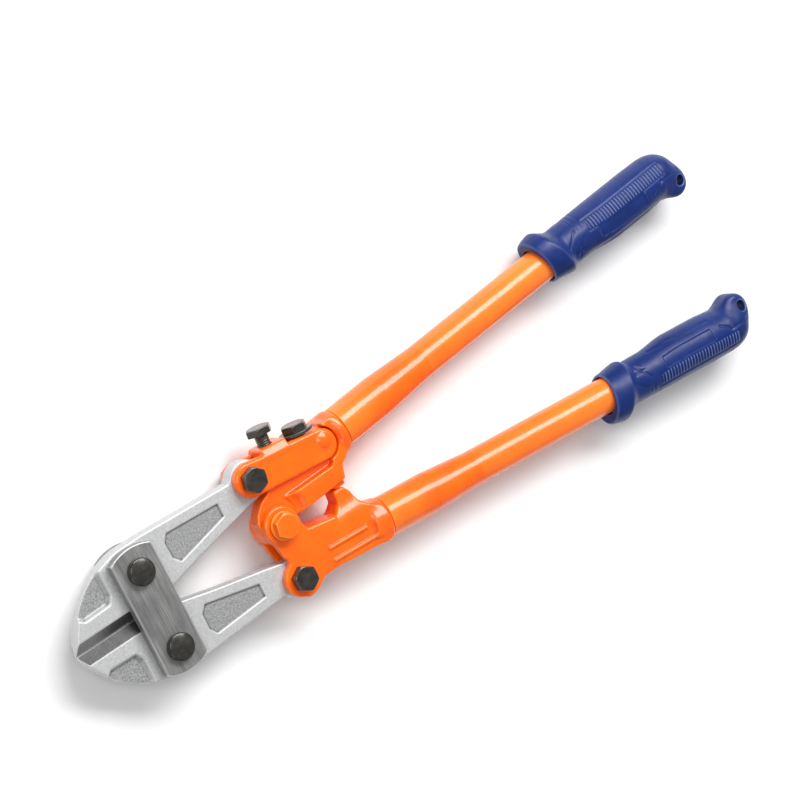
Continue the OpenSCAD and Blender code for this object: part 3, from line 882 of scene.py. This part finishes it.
# ---------- tubes and grips ----------
TUBE_ROOT_R = 11.7
TUBE_R = 9.9
TUBE_WALL = 1.6
TAPER = (31, 61)
TUBE_END = 245
GRIP_END = 258.5
HOOK = (251.6, -9.9)
HOOK_R = 8.2
HOOK_Z = 7.6
HANG = (254.28, -10)
HANG_R = 3
BELL_R = 16.3
RIB_PITCH = 2.05


def tube():
    outer = [(0, TUBE_ROOT_R, 0.5), (TAPER[0], TUBE_ROOT_R, 60)]
    outer += [(TAPER[1], TUBE_R, 60), (TUBE_END, TUBE_R, 0.3)]
    inner = [(s, r - TUBE_WALL, c and 0.3) for s, r, c in reversed(outer)]
    return lathe(rounded(outer + inner, 8), 128, axis=0)


def grip():
    grid = Grid((151.6, -20.6, -16.8), (261.6, 19.6, 16.8), 0.42)
    s, t, w = grid.x, grid.y, abs(grid.z)
    # radius and outward shift of the body along the tube
    knots = [150, 172, 184, 206, 226, 240, 249, 262]
    at = np.arange(150, 263, 0.5)
    radii = np.interp(s, at, smooth_line(knots, [12.5, 12.5, 12.6, 13.9, 13.9, 13.4, 12.4, 12]))
    shift = np.interp(s, at, smooth_line(knots, [0.2, 0.2, 0.1, -1.2, -1.2, -0.95, -0.7, -0.7]))
    d = np.hypot(t - shift, w) - radii
    d = both(d, s - GRIP_END + 0.12 * (t + 4), 12)
    # bell mouth, whose rim leans back on the inner side
    lean, r = s + 0.31 * (t - 1.75), np.hypot(t - 1.75, w * 1.02)
    bell = both(r - BELL_R, (r - 13.4 - (lean - 154.2) * 0.36) * 0.92, 2)
    bell = both(bell, (r - BELL_R + (lean - 165.4) * 0.85) * 0.73, 0.9)
    d = join(d, bell, 1.2)
    mouth = s + 0.165 * t
    d = both(d, 154.7 - mouth, 0.9)
    # lobe with the hanging hole
    lobe = both(disc(HOOK, HOOK_R, s, t), w - HOOK_Z, 3.5)
    d = join(d, lobe, 5)
    angle = np.degrees(np.arctan2(w, t - shift))
    ribs = (0.5 + 0.5 * np.cos(2 * np.pi * (s - 188) / RIB_PITCH)) ** 2.2
    ribs = ribs * window(s, 188.5, 243.5, 1) * window(angle, 56, 80, 5)
    inset = window(s, 193, 227, 0.7) * window(angle, 88, 118, 2)
    d = d + 0.8 * (0.35 - ribs) * window(s, 187, 245, 1.5) * window(angle, 50, 84, 5) + 0.5 * inset
    moulded = [((168, -2), (179, 6.8)), ((175.4, -7.8), (181.5, 0.5)), ((172.8, -4.9), (179.1, -5.1))]
    moulded += [((240.7, -1.9), (255.2, -2.8)), ((240.7, -1.9), (234.6, -6.5)), ((188, -11.6), (229, -11.9))]
    for a, b in moulded:
        d = d + 0.42 * np.exp(-((line(a, b, s, t) / 0.7) ** 2)) * ease(w, 3, 6)
    for at in (178.6, 180.7, 184.2):
        d = d + 0.25 * np.exp(-(((s - at - 0.12 * t) / 0.6) ** 2)) * window(angle, 0, 62, 8)
    d = cut(d, both(np.hypot(t, w) - TUBE_R - FIT, s - TUBE_END - 0.5), 0.5)
    d = cut(d, both(np.hypot(t, w) - TUBE_R - 0.9, mouth - 157), 0.5)
    d = cut(d, disc(HANG, HANG_R, s, t), 0.7)
    return skin(grid, d)


def smooth_line(knots, values):
    """Values every half millimetre from 150 to 262, eased between the knots."""
    at = np.arange(150, 263, 0.5)
    made = np.full(at.shape, float(values[-1]))
    for a, b, u, v in zip(knots, knots[1:], values, values[1:]):
        on = (at >= a) & (at <= b)
        made[on] = u + (v - u) * ease(at[on], a, b)
    return made


for name, place in (("upper", UPPER), ("lower", LOWER)):
    part(f"{name}_tube", "drawn", tube(), place, f"{name}_handle", ENAMEL)
    part(f"{name}_grip", "moulded", grip(), place, f"{name}_handle", VINYL)

# ---------- camera, floor and lights ----------
TILT = math.radians(29)
ROLL = math.radians(30.16)
DISTANCE = 2.5
LENS = 212.9373
SENSOR = 36
# The point between the jaw pivots as the camera sees it, left of and below the middle of the view
OFFSET = Vector((-0.13251, -0.11001, 0))
# The distance is taken from this far behind the jaws' middle plane
BEHIND = Vector((0, 0, 0.0018))
turn = Matrix.Rotation(TILT, 3, "Y") @ Matrix.Rotation(ROLL, 3, "Z")
cam_data = bpy.data.cameras.new("camera")
cam = bpy.data.objects.new("camera", cam_data)
bpy.context.collection.objects.link(cam)
cam_data.sensor_width = SENSOR
cam_data.lens = LENS
cam_data.clip_end = 100
place = turn.transposed() @ (Vector((0, 0, DISTANCE)) - OFFSET) + ORIGIN - BEHIND
cam.matrix_world = Matrix.Translation(place) @ turn.transposed().to_4x4()
bpy.context.scene.camera = cam
bpy.context.scene.view_settings.view_transform = "Standard"

FLOOR_R = 6
FLOOR_Z = -0.0002
floor_mesh = bpy.data.meshes.new("floor")
rim = [2 * math.pi * i / 64 for i in range(64)]
floor_points = [(FLOOR_R * math.cos(a), FLOOR_R * math.sin(a), FLOOR_Z) for a in rim]
floor_mesh.from_pydata(floor_points, [], [list(range(len(rim)))])
floor = bpy.data.objects.new("floor", floor_mesh)
bpy.context.collection.objects.link(floor)
paper = Look("floor_paper")
pulp = paper.mix(paper.noise(4, detail=2), (0.9, 0.9, 0.9, 1), (0.92, 0.92, 0.92, 1))
paper.set(Base_Color=pulp, Roughness=0.9, Specular_IOR_Level=0.0)
floor_mesh.materials.append(paper.material)

world = bpy.data.worlds.new("studio")
bpy.context.scene.world = world
world.use_nodes = True
world.node_tree.nodes["Background"].inputs["Color"].default_value = (1, 1, 1, 1)
world.node_tree.nodes["Background"].inputs["Strength"].default_value = 0.34

AIM = (Vector(cad_box[0]) + Vector(cad_box[1])) / 2


def softbox(name, way, distance, width, height, power):
    """A rectangular light that stands in a direction from the tool and faces it."""
    data = bpy.data.lights.new(name, "AREA")
    data.shape = "RECTANGLE"
    data.size, data.size_y = width, height
    data.energy = power
    lamp = bpy.data.objects.new(name, data)
    bpy.context.collection.objects.link(lamp)
    way = Vector(way).normalized()
    lamp.location = AIM + way * distance
    lamp.rotation_euler = way.to_track_quat("Z", "Y").to_euler()


softbox("key", (0.35, 0.58, 0.73), 1.8, 1.7, 0.7, 42)
softbox("top", (-0.55, 0.35, 0.95), 2.4, 1.0, 1.0, 14)
softbox("fill", (-0.9, -0.5, 0.6), 2.5, 1.2, 1.0, 6)
